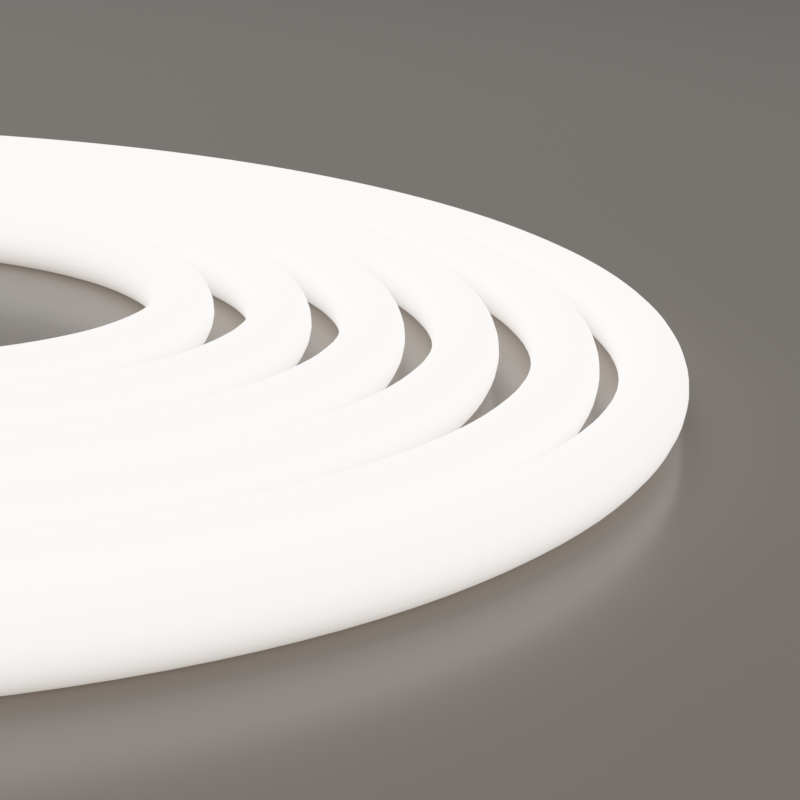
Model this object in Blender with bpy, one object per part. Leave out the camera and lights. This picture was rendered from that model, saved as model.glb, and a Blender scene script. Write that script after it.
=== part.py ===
"""A round, flexible LED light strip, five metres long, lying on its side in a flat open coil.

Metres, +Z up. The coil lies on the plane z = 0 and the middle of its outline is the origin.
The outer end points along +X, on the -Y side of the coil.
"""
import math

import bmesh
import bpy
import numpy as np
from mathutils import Matrix, Vector

# Light tube: opal silicone with a narrow channel for the board
TUBE_DIAMETER = 0.014
STRIP_LENGTH = 5.0
TUBE_SIDES = 12

# LED board: it stands on its edge, because it bends only across its thickness
BOARD_WIDTH = 0.008
BOARD_THICKNESS = 0.0018
CLEARANCE = 0.0003

# Coil: it is wound outwards anticlockwise, seen from above
FIRST_RADIUS = 0.0740
TURN_PITCH = 0.0210
FIRST_TURN = -0.45
END_STRAIGHT = 0.012

# How far out from an even coil the hand-laid strip lies, at each quarter turn, one turn to a line
DRIFT_START = -0.75
DRIFT_STEP = 0.25
TURN_DRIFT = (
    0.0, -0.0020, -0.0040,
    0.0020, 0.0030, 0.0005, -0.0005,
    0.0015, -0.0025, -0.0005, 0.0015,
    0.0, -0.0035, -0.0010, 0.0010,
    -0.0010, 0.0010, -0.0015, 0.0015,
    -0.0020, -0.0045, 0.0035, -0.0010,
    -0.0045, -0.0005, 0.0005, 0.0005,
    0.0,
)

# How finely the coil is made and measured
SEGMENTS_PER_TURN = 48
PATH_SAMPLES_PER_TURN = 400
SHORT_TURN = 0.00025

# End caps: round bodies as thick as the tube, each with a tongue that plugs the channel
CAP_SIDES = 24
CAP_BEVEL = 0.0012
TONGUE_LENGTH = 0.006
END_CAP_LENGTH = 0.007
FEED_CAP_LENGTH = 0.013
NECK_DIAMETER = 0.0105
NECK_LENGTH = 0.006
INLET_DIAMETER = 0.0066
INLET_DEPTH = 0.012

CHANNEL_WIDTH = BOARD_WIDTH + 2 * CLEARANCE
CHANNEL_THICKNESS = BOARD_THICKNESS + 2 * CLEARANCE

# Meshes: corners that meet, and the angle in degrees up to which shading runs on over an edge
MERGE_DISTANCE = 1e-7
SMOOTH_ANGLE = 35


def clear_scene():
    for old in list(bpy.data.objects):
        bpy.data.objects.remove(old, do_unlink=True)


def make_material(name, color, roughness, glow=0.0):
    material = bpy.data.materials.new(name)
    material.use_nodes = True
    shader = material.node_tree.nodes["Principled BSDF"]
    shader.inputs["Base Color"].default_value = (*color, 1.0)
    shader.inputs["Roughness"].default_value = roughness
    shader.inputs["Metallic"].default_value = 0.0
    shader.inputs["Emission Color"].default_value = (*color, 1.0)
    shader.inputs["Emission Strength"].default_value = glow
    material.diffuse_color = (*color, 1.0)
    return material


def add_object(name, bm, material):
    """Makes a named object from a bmesh whose faces are all in place."""
    bmesh.ops.remove_doubles(bm, verts=bm.verts, dist=MERGE_DISTANCE)
    bmesh.ops.recalc_face_normals(bm, faces=bm.faces)
    mesh = bpy.data.meshes.new(name)
    bm.to_mesh(mesh)
    bm.free()
    mesh.shade_smooth()
    mesh.set_sharp_from_angle(angle=math.radians(SMOOTH_ANGLE))
    mesh.materials.append(material)
    item = bpy.data.objects.new(name, mesh)
    bpy.context.scene.collection.objects.link(item)
    return item


def turn_drift(turn):
    """How far out from an even coil the strip lies: a smooth curve through the table."""
    last = len(TURN_DRIFT) - 2
    place = min(max((turn - DRIFT_START) / DRIFT_STEP, 1.0), float(last))
    i = min(int(place), last - 1)
    part = place - i
    before, here, there, after = TURN_DRIFT[i - 1:i + 3]
    bend = 2 * before - 5 * here + 4 * there - after
    twist = 3 * (here - there) + after - before
    return here + part / 2 * (there - before + part * (bend + part * twist))


def coil_point(turn):
    """Centre line of the tube, about the coil's own middle, a number of turns after turn 0."""
    azimuth = 2 * math.pi * turn
    radius = FIRST_RADIUS + TURN_PITCH * turn + turn_drift(turn)
    return Vector((radius * math.cos(azimuth), radius * math.sin(azimuth), TUBE_DIAMETER / 2))


def last_turn():
    """The turn at which the strip's length is used up."""
    coiled = STRIP_LENGTH - 2 * END_STRAIGHT
    turn = FIRST_TURN
    here = coil_point(turn)
    used = 0.0
    while True:
        ahead = coil_point(turn + 1 / PATH_SAMPLES_PER_TURN)
        step = (ahead - here).length
        if used + step >= coiled:
            return turn + (coiled - used) / step / PATH_SAMPLES_PER_TURN
        used += step
        turn += 1 / PATH_SAMPLES_PER_TURN
        here = ahead


def strip_path():
    """Points of the centre line, from the inner end to the outer one, both ends straight."""
    end = last_turn()
    count = round((end - FIRST_TURN) * SEGMENTS_PER_TURN)
    points = [coil_point(float(turn)) for turn in np.linspace(FIRST_TURN, end, count + 1)]
    inward = (coil_point(FIRST_TURN - SHORT_TURN) - points[0]).normalized()
    outward = (points[-1] - coil_point(end - SHORT_TURN)).normalized()
    points.insert(0, points[0] + inward * END_STRAIGHT)
    points.append(points[-1] + outward * END_STRAIGHT)
    turned = Matrix.Rotation(-math.atan2(outward.y, outward.x), 4, "Z")
    return [turned @ point for point in points]


def shorten(path, length):
    """The same path with a length taken off each end, inside its straight stretches."""
    start = path[0] + (path[1] - path[0]).normalized() * length
    stop = path[-1] + (path[-2] - path[-1]).normalized() * length
    return [start, *path[1:-1], stop]


def polygon(sides, radius):
    """A regular outline that lies flat on one side, which is the given radius from its middle."""
    corner = radius / math.cos(math.pi / sides)
    angles = [2 * math.pi * (i + 0.5) / sides - math.pi / 2 for i in range(sides)]
    return [(corner * math.cos(angle), corner * math.sin(angle)) for angle in angles]


def rectangle(across, up):
    return [(across / 2, -up / 2), (across / 2, up / 2), (-across / 2, up / 2), (-across / 2, -up / 2)]


def sweep_rings(bm, outline, path):
    """A ring of vertices at each point of the path, square to it, joined by side faces."""
    rings = []
    for i, point in enumerate(path):
        before = path[max(i - 1, 0)]
        after = path[min(i + 1, len(path) - 1)]
        ahead = (after - before).normalized()
        side = Vector((ahead.y, -ahead.x, 0))
        rings.append([bm.verts.new(point + side * u + Vector((0, 0, v))) for u, v in outline])
    join_rings(bm, rings)
    return rings


def join_rings(bm, rings):
    for near, far in zip(rings, rings[1:]):
        for i in range(len(near)):
            j = (i + 1) % len(near)
            bm.faces.new((near[i], near[j], far[j], far[i]))


def ring_edges(bm, ring):
    return [bm.edges.get((ring[i], ring[(i + 1) % len(ring)])) for i in range(len(ring))]


def fill_between(bm, outer, inner):
    """The flat face between an outline and a hole in it."""
    edges = ring_edges(bm, outer) + ring_edges(bm, inner)
    bmesh.ops.triangle_fill(bm, use_beauty=True, use_dissolve=False, edges=edges)


def build_tube(path, material):
    bm = bmesh.new()
    skin = sweep_rings(bm, polygon(TUBE_SIDES, TUBE_DIAMETER / 2), path)
    channel = sweep_rings(bm, rectangle(CHANNEL_THICKNESS, CHANNEL_WIDTH), path)
    for end in (0, -1):
        fill_between(bm, skin[end], channel[end])
    return add_object("light_tube", bm, material)


def build_board(path, material):
    """The flexible board with its row of LEDs, as one plain strip between the two tongues."""
    bm = bmesh.new()
    rings = sweep_rings(bm, rectangle(BOARD_THICKNESS, BOARD_WIDTH), shorten(path, TONGUE_LENGTH))
    bm.faces.new(rings[0])
    bm.faces.new(rings[-1])
    return add_object("led_board", bm, material)


def cap_frame(tip, inside):
    """A cap's own frame: its X runs on from the tube's end, its Z is up."""
    ahead = (tip - inside).normalized()
    side = Vector((-ahead.y, ahead.x, 0))
    rows = Matrix((ahead, side, Vector((0, 0, 1)))).transposed().to_4x4()
    return Matrix.Translation(tip) @ rows


def build_cap(name, profile, frame, material):
    """A turned cap. Its profile runs along the outside, as (distance from the tube, radius)."""
    bm = bmesh.new()
    rings = []
    for along, radius in profile:
        rings.append([bm.verts.new((along, u, v)) for u, v in polygon(CAP_SIDES, radius)])
    join_rings(bm, rings)
    bm.faces.new(rings[-1])
    seat = profile[0][0]
    tongue = rectangle(CHANNEL_THICKNESS - 2 * CLEARANCE, CHANNEL_WIDTH - 2 * CLEARANCE)
    root = [bm.verts.new((seat, u, v)) for u, v in tongue]
    tip = [bm.verts.new((CLEARANCE - TONGUE_LENGTH, u, v)) for u, v in tongue]
    join_rings(bm, [root, tip])
    bm.faces.new(tip)
    fill_between(bm, rings[0], root)
    bm.transform(frame)
    return add_object(name, bm, material)


def body_profile(length):
    radius = TUBE_DIAMETER / 2
    return [(CLEARANCE, radius), (length - CAP_BEVEL, radius), (length, radius - CAP_BEVEL)]


def feed_profile():
    """The feed cap's body, then its neck and the blind inlet that the lead goes into."""
    neck_end = FEED_CAP_LENGTH + NECK_LENGTH
    return body_profile(FEED_CAP_LENGTH) + [
        (FEED_CAP_LENGTH, NECK_DIAMETER / 2),
        (neck_end, NECK_DIAMETER / 2),
        (neck_end, INLET_DIAMETER / 2),
        (neck_end - INLET_DEPTH, INLET_DIAMETER / 2),
    ]


def centre_on_origin(items):
    """Puts the middle of the whole outline on the Z axis."""
    corners = np.array([v.co[:] for item in items for v in item.data.vertices])
    middle = (corners.min(axis=0) + corners.max(axis=0)) / 2
    for item in items:
        item.data.transform(Matrix.Translation((-middle[0], -middle[1], 0)))


def main():
    clear_scene()
    opal = make_material("opal silicone, lit", (1.0, 0.97, 0.93), 0.45, glow=1.0)
    white = make_material("white silicone", (0.86, 0.84, 0.80), 0.5)
    board = make_material("white circuit board", (0.80, 0.78, 0.70), 0.4)
    path = strip_path()
    items = [
        build_tube(path, opal),
        build_board(path, board),
        build_cap("end_cap", body_profile(END_CAP_LENGTH), cap_frame(path[0], path[1]), white),
        build_cap("feed_cap", feed_profile(), cap_frame(path[-1], path[-2]), white),
    ]
    centre_on_origin(items)


main()
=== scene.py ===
"""Looks of a lit, round LED light strip in a flat coil: opal silicone, caps, floor, light, camera.

Metres, +Z up. The strip lies on the plane z = 0, as in the frame.
"""

import math

import bpy
import numpy as np
from mathutils import Matrix, Vector


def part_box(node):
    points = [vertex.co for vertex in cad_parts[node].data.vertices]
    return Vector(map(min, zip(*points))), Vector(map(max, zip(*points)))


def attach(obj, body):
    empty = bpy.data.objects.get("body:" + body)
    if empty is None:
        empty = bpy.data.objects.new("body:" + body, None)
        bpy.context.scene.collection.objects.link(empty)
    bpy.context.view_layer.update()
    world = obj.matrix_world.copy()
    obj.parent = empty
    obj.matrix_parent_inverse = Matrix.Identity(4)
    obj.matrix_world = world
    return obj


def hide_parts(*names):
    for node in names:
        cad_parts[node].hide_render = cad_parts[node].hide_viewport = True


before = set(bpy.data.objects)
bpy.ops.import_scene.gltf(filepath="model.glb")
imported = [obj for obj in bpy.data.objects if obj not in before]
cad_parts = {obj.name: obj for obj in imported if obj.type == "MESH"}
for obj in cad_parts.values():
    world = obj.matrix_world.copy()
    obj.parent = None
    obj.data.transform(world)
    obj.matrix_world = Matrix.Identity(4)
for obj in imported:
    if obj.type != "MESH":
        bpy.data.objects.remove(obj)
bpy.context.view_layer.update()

# Tube and coil, as the frame has them
TUBE_DIAMETER = 0.014
TUBE_RADIUS = TUBE_DIAMETER / 2
STRIP_LENGTH = 5.0
FIRST_RADIUS = 0.0740
TURN_PITCH = 0.0210
FIRST_TURN = -0.45
END_STRAIGHT = 0.012
PATH_SAMPLES_PER_TURN = 400
SHORT_TURN = 0.00025

# How far out from an even coil the hand-laid strip lies, at each quarter turn, one turn to a line
DRIFT_START = -0.75
DRIFT_STEP = 0.25
TURN_DRIFT = (
    0.0, -0.0020, -0.0040,
    0.0020, 0.0030, 0.0005, -0.0005,
    0.0015, -0.0025, -0.0005, 0.0015,
    0.0, -0.0035, -0.0010, 0.0010,
    -0.0010, 0.0010, -0.0015, 0.0015,
    -0.0020, -0.0045, 0.0035, -0.0010,
    -0.0045, -0.0005, 0.0005, 0.0005,
    0.0,
)

# How finely the tube is made
POINTS_PER_TURN = 160
ROUND_STEPS = 10

# Caps, as the frame has them
END_CAP_LENGTH = 0.007
FEED_CAP_LENGTH = 0.013
NECK_RADIUS = 0.00525
NECK_LENGTH = 0.006
INLET_RADIUS = 0.0033
INLET_DEPTH = 0.012

# Moulded detail of the caps
CAP_SIDES = 64
JOINT_WIDTH = 0.0003
JOINT_DEPTH = 0.00025
EDGE_ROUND = 0.0012
EDGE_STEPS = 5
DISH_RADIUS = 0.0042
DISH_DEPTH = 0.0003
GRIP_COUNT = 4
GRIP_DEPTH = 0.0004
GRIP_WIDTH = 0.0008
GRIP_PITCH = 0.0018
RIB_COUNT = 3
RIB_DEPTH = 0.0006
RIB_WIDTH = 0.0009
RIB_PITCH = 0.0018
MOUTH_FLARE = 0.0004
SOFT_EDGE = 0.00012
SOFT_EDGE_STEPS = 2

# Edges flatter than the first angle aren't rounded, and shading runs on over the second, in degrees
SHARP_ANGLE = 35
SMOOTH_ANGLE = 40

# Camera, from the photograph: metres from the coil's own middle, and radians
CAMERA_BACK = 0.39082
CAMERA_UP = 0.10829
CAMERA_PITCH = 0.29689
CAMERA_YAW = 0.31805
CAMERA_ROLL = 0.06656
FOCAL_PIXELS = 1841.2
IMAGE_PIXELS = 800.0

# Colours that light falls on. The tube's is dark, so that the light it gives off keeps the shade
# painted into it
OPAL = (0.09, 0.088, 0.085)
WHITE = (0.80, 0.79, 0.76)
SOLDER_MASK = (0.78, 0.77, 0.70)
PALE_FLOOR = (0.40, 0.36, 0.325)

# Roughness: one value for a whole piece, or the least and the most of a piece that varies
SILICONE_ROUGHNESS = 0.5
BOARD_ROUGHNESS = (0.25, 0.45)
FLOOR_ROUGHNESS = 0.25
TUBE_GLOSS = 0.0

# Light that the tube gives off: its colour and strength along the top, and its darker, warmer
# colour low down, which is painted shade
FULL_GLOW = (1.0, 0.982, 0.966)
SHADED_LOW_GLOW = (0.50, 0.45, 0.41)
GLOW_STRENGTH = 0.927

# Painted shade in that light: it darkens downwards from one height, and faster below a second, in
# tube radii. The darker underside also leaves the floor beside the strip darker
SHADE_START_HEIGHT = 0.5
SHADE_SQUARED = 0.18
SHADE_CUBED = 0.057
UNDERSIDE_SHADE_HEIGHT = -0.9
UNDERSIDE_SHADE_RATE = 5.0

# How it fades near the strip's ends, where no LED sits
END_REACH = 0.012
END_LEAST = 0.82

# Light that soaks from the tube into its caps, fading to nothing at a distance
CAP_GLOW = (1.0, 0.95, 0.88)
CAP_GLOW_REACH = 0.0165
CAP_GLOW_STRENGTH = 0.85

# Faint relief: lines drawn along the tube, in counts round and along its map, and their share
DRAWN_LINES = (90.0, 12.0)
LINE_SHARE = 0.4

# Fine grain, in counts to the metre, and how deep all relief is
TUBE_GRAIN = 1800.0
CAP_GRAIN = 1500.0
BOARD_GRAIN = 900.0
BUMP_DEPTH = 0.00002

# The colour sockets of a Mix node share their names with others, so they go by number
MIX_FACTOR = 0
MIX_COLOR_AT_0 = 6
MIX_COLOR_AT_1 = 7
MIX_RESULT = 2

# Room: the floor's width, the light all round, and a square lamp above the coil's far left
FLOOR_WIDTH = 30.0
ROOM_COLOR = (1.0, 0.99, 0.97)
ROOM_STRENGTH = 0.18
LAMP_WIDTH = 1.5
LAMP_WATTS = 9.5
LAMP_PLACE = (-0.4, 0.3, 1.4)


class Value:
    """A shader socket that takes part in Python sums, which add their own nodes."""

    def __init__(self, shader, socket):
        self.shader = shader
        self.socket = socket

    def maths(self, operation, *inputs):
        return self.shader.node("ShaderNodeMath", {"operation": operation}, inputs)

    def __add__(self, other):
        return self.maths("ADD", self, other)

    def __sub__(self, other):
        return self.maths("SUBTRACT", self, other)

    def __rsub__(self, other):
        return self.maths("SUBTRACT", other, self)

    def __mul__(self, other):
        return self.maths("MULTIPLY", self, other)

    def __truediv__(self, other):
        return self.maths("DIVIDE", self, other)

    def at_least(self, low):
        return self.maths("MAXIMUM", self, low)

    def at_most(self, high):
        return self.maths("MINIMUM", self, high)


class Shader:
    """A material's node tree, with its Principled shader at hand."""

    def __init__(self, name, color, roughness):
        self.material = bpy.data.materials.new(name)
        self.material.use_nodes = True
        self.tree = self.material.node_tree
        self.surface = self.tree.nodes["Principled BSDF"]
        self.surface.inputs["Base Color"].default_value = (*color, 1.0)
        self.surface.inputs["Roughness"].default_value = roughness

    def node(self, kind, settings=None, inputs=(), output=0):
        """Adds a node. Inputs are given in order or, in a dictionary, by name or number."""
        made = self.tree.nodes.new(kind)
        for name, value in (settings or {}).items():
            setattr(made, name, value)
        named = inputs.items() if isinstance(inputs, dict) else enumerate(inputs)
        for key, value in named:
            if isinstance(value, Value):
                self.tree.links.new(value.socket, made.inputs[key])
            else:
                made.inputs[key].default_value = value
        return Value(self, made.outputs[output])

    def feed(self, socket, value):
        self.tree.links.new(value.socket, self.surface.inputs[socket])

    def place(self):
        """A point of the piece, in the frame's metres."""
        return self.node("ShaderNodeTexCoord", output="Object")

    def height_up_tube(self):
        """-1 at the tube's underside, 0 at its middle and 1 at its top."""
        rise = self.node("ShaderNodeSeparateXYZ", None, (self.place(),), output="Z")
        return rise / TUBE_RADIUS - 1.0

    def distance_from(self, point):
        inputs = (self.place(), tuple(point))
        return self.node("ShaderNodeVectorMath", {"operation": "DISTANCE"}, inputs, output="Value")

    def noise(self, vector, scale=1.0):
        inputs = {"Vector": vector, "Scale": scale}
        return self.node("ShaderNodeTexNoise", None, inputs)

    def stretched_uv(self, around, along):
        """The piece's own map, drawn out so that a pattern runs along the piece."""
        uv = self.node("ShaderNodeTexCoord", output="UV")
        inputs = {"Vector": uv, "Scale": (around, along, 1.0)}
        return self.node("ShaderNodeMapping", None, inputs)

    def bump(self, height, distance):
        inputs = {"Distance": distance, "Height": height}
        self.feed("Normal", self.node("ShaderNodeBump", None, inputs))

    def mix(self, part, color_at_0, color_at_1):
        inputs = {
            MIX_FACTOR: part,
            MIX_COLOR_AT_0: (*color_at_0, 1.0),
            MIX_COLOR_AT_1: (*color_at_1, 1.0),
        }
        return self.node("ShaderNodeMix", {"data_type": "RGBA"}, inputs, output=MIX_RESULT)

    def glow(self, color, brightness, strength):
        """Light of a colour, which the brightness dims from place to place."""
        inputs = {"Vector": color, "Scale": brightness}
        dimmed = self.node("ShaderNodeVectorMath", {"operation": "SCALE"}, inputs)
        self.feed("Emission Color", dimmed)
        self.surface.inputs["Emission Strength"].default_value = strength


def turn_drift(turn):
    """How far out from an even coil the strip lies: a smooth curve through the table."""
    last = len(TURN_DRIFT) - 2
    place = min(max((turn - DRIFT_START) / DRIFT_STEP, 1.0), float(last))
    i = min(int(place), last - 1)
    part = place - i
    before, here, there, after = TURN_DRIFT[i - 1:i + 3]
    bend = 2 * before - 5 * here + 4 * there - after
    twist = 3 * (here - there) + after - before
    return here + part / 2 * (there - before + part * (bend + part * twist))


def coil_point(turn):
    """Centre line of the tube, about the coil's own middle, a number of turns after turn 0."""
    azimuth = 2 * math.pi * turn
    radius = FIRST_RADIUS + TURN_PITCH * turn + turn_drift(turn)
    return Vector((radius * math.cos(azimuth), radius * math.sin(azimuth), TUBE_RADIUS))


def last_turn():
    """The turn at which the strip's length is used up."""
    coiled = STRIP_LENGTH - 2 * END_STRAIGHT
    turn = FIRST_TURN
    here = coil_point(turn)
    used = 0.0
    while True:
        ahead = coil_point(turn + 1 / PATH_SAMPLES_PER_TURN)
        step = (ahead - here).length
        if used + step >= coiled:
            return turn + (coiled - used) / step / PATH_SAMPLES_PER_TURN
        used += step
        turn += 1 / PATH_SAMPLES_PER_TURN
        here = ahead


def strip_path():
    """The tube's centre line in the frame, and the matrix that put the coil's own middle there."""
    end = last_turn()
    count = round((end - FIRST_TURN) * POINTS_PER_TURN)
    points = [coil_point(float(turn)) for turn in np.linspace(FIRST_TURN, end, count + 1)]
    inward = (coil_point(FIRST_TURN - SHORT_TURN) - points[0]).normalized()
    outward = (points[-1] - coil_point(end - SHORT_TURN)).normalized()
    points.insert(0, points[0] + inward * END_STRAIGHT)
    points.append(points[-1] + outward * END_STRAIGHT)
    turned = Matrix.Rotation(-math.atan2(outward.y, outward.x), 4, "Z")
    tip = turned @ points[-1]
    low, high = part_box("feed_cap")
    feed_tip = Vector((high[0] - FEED_CAP_LENGTH - NECK_LENGTH, (low[1] + high[1]) / 2, tip.z))
    placed = Matrix.Translation(feed_tip - tip) @ turned
    return [placed @ point for point in points], placed


def select_only(piece):
    bpy.ops.object.select_all(action="DESELECT")
    piece.select_set(True)
    bpy.context.view_layer.objects.active = piece


def finish_piece(piece, name, material, node):
    """Names a modelled piece, puts its place into its mesh, and ties it to the frame."""
    piece.name = name
    piece.data.name = name
    select_only(piece)
    bpy.ops.object.transform_apply(location=True, rotation=True, scale=True)
    piece.data.materials.clear()
    piece.data.materials.append(material)
    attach(piece, "root")
    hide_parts(node)


def make_tube(points, material):
    """The tube as a round curve along the strip's path, made a mesh."""
    curve = bpy.data.curves.new("lit_tube", "CURVE")
    curve.dimensions = "3D"
    curve.bevel_depth = TUBE_RADIUS
    curve.bevel_resolution = ROUND_STEPS
    curve.use_fill_caps = True
    spline = curve.splines.new("POLY")
    spline.points.add(len(points) - 1)
    for place, point in zip(spline.points, points):
        place.co = (*point, 1.0)
    tube = bpy.data.objects.new("lit_tube", curve)
    bpy.context.scene.collection.objects.link(tube)
    select_only(tube)
    bpy.ops.object.convert(target="MESH")
    tube = bpy.context.view_layer.objects.active
    bpy.ops.object.shade_smooth_by_angle(angle=math.radians(SMOOTH_ANGLE))
    finish_piece(tube, "lit_tube", material, "light_tube")


def rounded_edge(along, radius, size):
    """Profile points round an outer edge, as (distance from the tube, radius)."""
    turns = [math.pi / 2 * i / EDGE_STEPS for i in range(EDGE_STEPS + 1)]
    return [(along - size + size * math.sin(a), radius - size + size * math.cos(a)) for a in turns]


def grooves(start, count, pitch, width, depth, radius):
    """Profile points of a row of grooves cut round a cylinder."""
    points = []
    for i in range(count):
        near = start + i * pitch
        far = near + width
        points += [(near, radius), (near, radius - depth), (far, radius - depth), (far, radius)]
    return points


def turned_piece(profile):
    """A round solid about Z: a filled circle, drawn along and resized from point to point."""
    along, radius = profile[0]
    bpy.ops.object.select_all(action="DESELECT")
    bpy.ops.mesh.primitive_circle_add(
        vertices=CAP_SIDES, radius=radius, fill_type="NGON", location=(0, 0, along)
    )
    piece = bpy.context.view_layer.objects.active
    select_only(piece)
    bpy.ops.object.transform_apply(location=True, rotation=True, scale=True)
    bpy.ops.object.mode_set(mode="EDIT")
    bpy.ops.mesh.select_all(action="SELECT")
    for next_along, next_radius in profile[1:]:
        bpy.ops.mesh.extrude_region_move(
            TRANSFORM_OT_translate={"value": (0, 0, next_along - along)}
        )
        factor = next_radius / radius
        bpy.ops.transform.resize(value=(factor, factor, 1), center_override=(0, 0, next_along))
        along, radius = next_along, next_radius
    bpy.ops.mesh.select_all(action="SELECT")
    bpy.ops.mesh.normals_make_consistent(inside=False)
    bpy.ops.object.mode_set(mode="OBJECT")
    bevel = piece.modifiers.new("soft_edges", "BEVEL")
    bevel.width = SOFT_EDGE
    bevel.segments = SOFT_EDGE_STEPS
    bevel.limit_method = "ANGLE"
    bevel.angle_limit = math.radians(SHARP_ANGLE)
    bpy.ops.object.modifier_apply(modifier=bevel.name)
    bpy.ops.object.shade_smooth_by_angle(angle=math.radians(SMOOTH_ANGLE))
    return piece


def stand_at(piece, tip, inside):
    """Turns a piece from its own Z to the way that the tube runs out at one end."""
    ahead = (tip - inside).normalized()
    side = Vector((-ahead.y, ahead.x, 0))
    rows = Matrix((Vector((0, 0, 1)), side, ahead)).transposed()
    piece.matrix_world = Matrix.Translation(tip) @ rows.to_4x4()


def joint_and_body(length):
    """Profile from the tube's end face, over the glued joint, to the cap's rounded front edge."""
    start = [(0.0, TUBE_RADIUS - JOINT_DEPTH), (JOINT_WIDTH, TUBE_RADIUS - JOINT_DEPTH)]
    start.append((JOINT_WIDTH * 2, TUBE_RADIUS))
    return start, rounded_edge(length, TUBE_RADIUS, EDGE_ROUND)


def make_end_cap(tip, inside, material):
    """The plain cap: a short round plug with a shallow dish in its front."""
    joint, edge = joint_and_body(END_CAP_LENGTH)
    dish = [(END_CAP_LENGTH, DISH_RADIUS), (END_CAP_LENGTH - DISH_DEPTH, DISH_RADIUS - DISH_DEPTH)]
    piece = turned_piece(joint + edge + dish)
    stand_at(piece, tip, inside)
    finish_piece(piece, "inner_cap", material, "end_cap")


def make_feed_cap(tip, inside, material):
    """The feed cap: a body with grip grooves, a ribbed neck and a flared blind inlet."""
    joint, edge = joint_and_body(FEED_CAP_LENGTH)
    grip_start = (FEED_CAP_LENGTH - (GRIP_COUNT - 1) * GRIP_PITCH - GRIP_WIDTH) / 2
    grips = grooves(grip_start, GRIP_COUNT, GRIP_PITCH, GRIP_WIDTH, GRIP_DEPTH, TUBE_RADIUS)
    rib_start = FEED_CAP_LENGTH + (NECK_LENGTH - (RIB_COUNT - 1) * RIB_PITCH - RIB_WIDTH) / 2
    ribs = grooves(rib_start, RIB_COUNT, RIB_PITCH, RIB_WIDTH, RIB_DEPTH, NECK_RADIUS)
    mouth = FEED_CAP_LENGTH + NECK_LENGTH
    neck = [(FEED_CAP_LENGTH, NECK_RADIUS), *ribs, (mouth, NECK_RADIUS)]
    inlet = [
        (mouth, INLET_RADIUS + MOUTH_FLARE),
        (mouth - MOUTH_FLARE, INLET_RADIUS),
        (mouth - INLET_DEPTH, INLET_RADIUS),
    ]
    piece = turned_piece(joint + grips + edge + neck + inlet)
    stand_at(piece, tip, inside)
    finish_piece(piece, "outer_cap", material, "feed_cap")


def lit_silicone_with_painted_shade(tips):
    """Opal silicone that glows all round, with painted shade darkening it towards its underside,
    and dimmer close to its ends.
    """
    shader = Shader("opal silicone, lit", OPAL, SILICONE_ROUGHNESS)
    shader.surface.inputs["Specular IOR Level"].default_value = TUBE_GLOSS
    height = shader.height_up_tube()
    # Painted shade: the glow darkens downwards from a height up the tube, and far faster at the
    # underside
    below = (SHADE_START_HEIGHT - height).at_least(0.0)
    shaded_amount = 1.0 - below * below * (below * SHADE_CUBED + SHADE_SQUARED)
    part = (shaded_amount - SHADED_LOW_GLOW[0]) / (FULL_GLOW[0] - SHADED_LOW_GLOW[0])
    underside_shade = (UNDERSIDE_SHADE_HEIGHT - height).at_least(0.0)
    from_end = shader.distance_from(tips[0]).at_most(shader.distance_from(tips[1]))
    near_end = (from_end / END_REACH).at_most(1.0) * (1.0 - END_LEAST) + END_LEAST
    color = shader.mix(part, SHADED_LOW_GLOW, FULL_GLOW)
    shader.glow(color, near_end * (1.0 - underside_shade * UNDERSIDE_SHADE_RATE), GLOW_STRENGTH)
    lines = shader.noise(shader.stretched_uv(*DRAWN_LINES))
    grain = shader.noise(shader.place(), TUBE_GRAIN)
    shader.bump(lines * LINE_SHARE + grain * (1.0 - LINE_SHARE), BUMP_DEPTH)
    return shader.material


def cap_silicone(name, tip):
    """Opaque white silicone, which the tube's light soaks into for a few millimetres."""
    shader = Shader(name, WHITE, SILICONE_ROUGHNESS)
    soak = (1.0 - shader.distance_from(tip) / CAP_GLOW_REACH).at_least(0.0)
    shader.glow(CAP_GLOW, soak * soak, CAP_GLOW_STRENGTH)
    grain = shader.noise(shader.place(), CAP_GRAIN)
    shader.bump(grain, BUMP_DEPTH)
    return shader.material


def circuit_board():
    least, most = BOARD_ROUGHNESS
    shader = Shader("white solder mask", SOLDER_MASK, least)
    grain = shader.noise(shader.place(), BOARD_GRAIN)
    shader.feed("Roughness", grain * (most - least) + least)
    return shader.material


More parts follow.
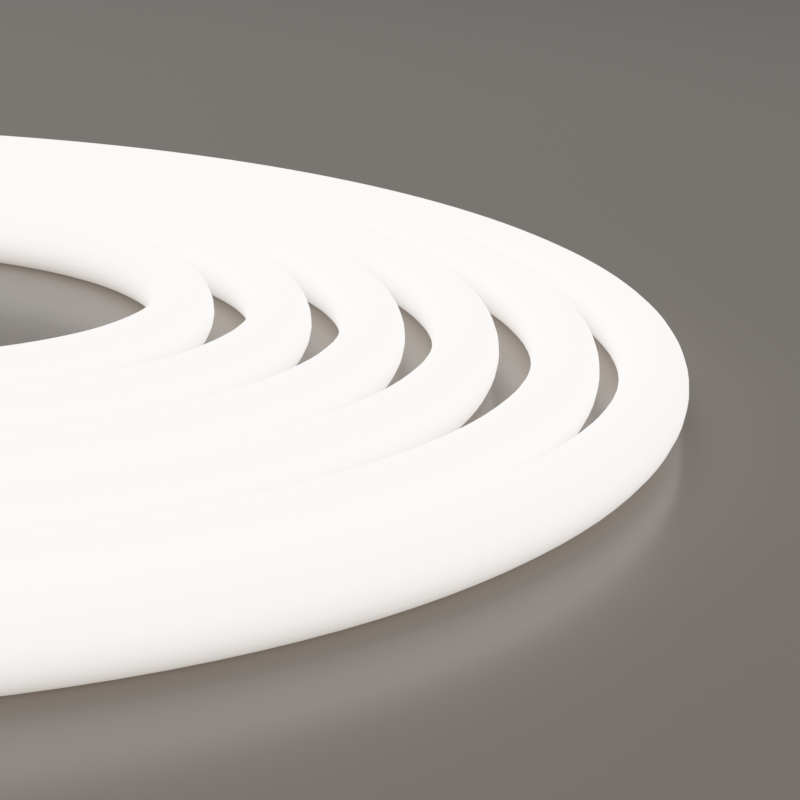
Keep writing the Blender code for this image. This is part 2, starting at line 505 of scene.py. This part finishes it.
def place_camera(placed):
    camera = bpy.data.cameras.new("camera")
    camera.sensor_fit = "HORIZONTAL"
    camera.angle_x = 2 * math.atan(IMAGE_PIXELS / 2 / FOCAL_PIXELS)
    item = bpy.data.objects.new("camera", camera)
    bpy.context.scene.collection.objects.link(item)
    ahead = Vector((
        math.sin(CAMERA_YAW) * math.cos(CAMERA_PITCH),
        math.cos(CAMERA_YAW) * math.cos(CAMERA_PITCH),
        -math.sin(CAMERA_PITCH),
    ))
    right = ahead.cross(Vector((0, 0, 1))).normalized()
    up = right.cross(ahead)
    turned_right = math.cos(CAMERA_ROLL) * right + math.sin(CAMERA_ROLL) * up
    turned_up = math.cos(CAMERA_ROLL) * up - math.sin(CAMERA_ROLL) * right
    axes = Matrix((turned_right, turned_up, -ahead)).transposed().to_4x4()
    item.matrix_world = placed @ Matrix.Translation((0, -CAMERA_BACK, CAMERA_UP)) @ axes
    bpy.context.scene.camera = item


def make_floor():
    bpy.ops.object.select_all(action="DESELECT")
    bpy.ops.mesh.primitive_plane_add(size=FLOOR_WIDTH)
    floor = bpy.context.view_layer.objects.active
    floor.name = "floor"
    shader = Shader("pale floor", PALE_FLOOR, FLOOR_ROUGHNESS)
    floor.data.materials.append(shader.material)


def make_light():
    """A pale room and one large soft lamp above the far left of the coil."""
    world = bpy.data.worlds.new("room")
    world.use_nodes = True
    room = world.node_tree.nodes["Background"]
    room.inputs["Color"].default_value = (*ROOM_COLOR, 1.0)
    room.inputs["Strength"].default_value = ROOM_STRENGTH
    bpy.context.scene.world = world
    lamp = bpy.data.lights.new("soft_light", "AREA")
    lamp.size = LAMP_WIDTH
    lamp.energy = LAMP_WATTS
    item = bpy.data.objects.new("soft_light", lamp)
    bpy.context.scene.collection.objects.link(item)
    item.location = LAMP_PLACE
    item.rotation_euler = (-Vector(LAMP_PLACE)).to_track_quat("-Z", "Y").to_euler()
    bpy.context.scene.view_settings.view_transform = "Standard"


def main():
    points, placed = strip_path()
    place_camera(placed)
    tips = points[0], points[-1]
    make_tube(points, lit_silicone_with_painted_shade(tips))
    make_end_cap(points[0], points[1], cap_silicone("white silicone, inner cap", points[0]))
    make_feed_cap(points[-1], points[-2], cap_silicone("white silicone, outer cap", points[-1]))
    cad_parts["led_board"].material_slots[0].material = circuit_board()
    make_floor()
    make_light()


main()
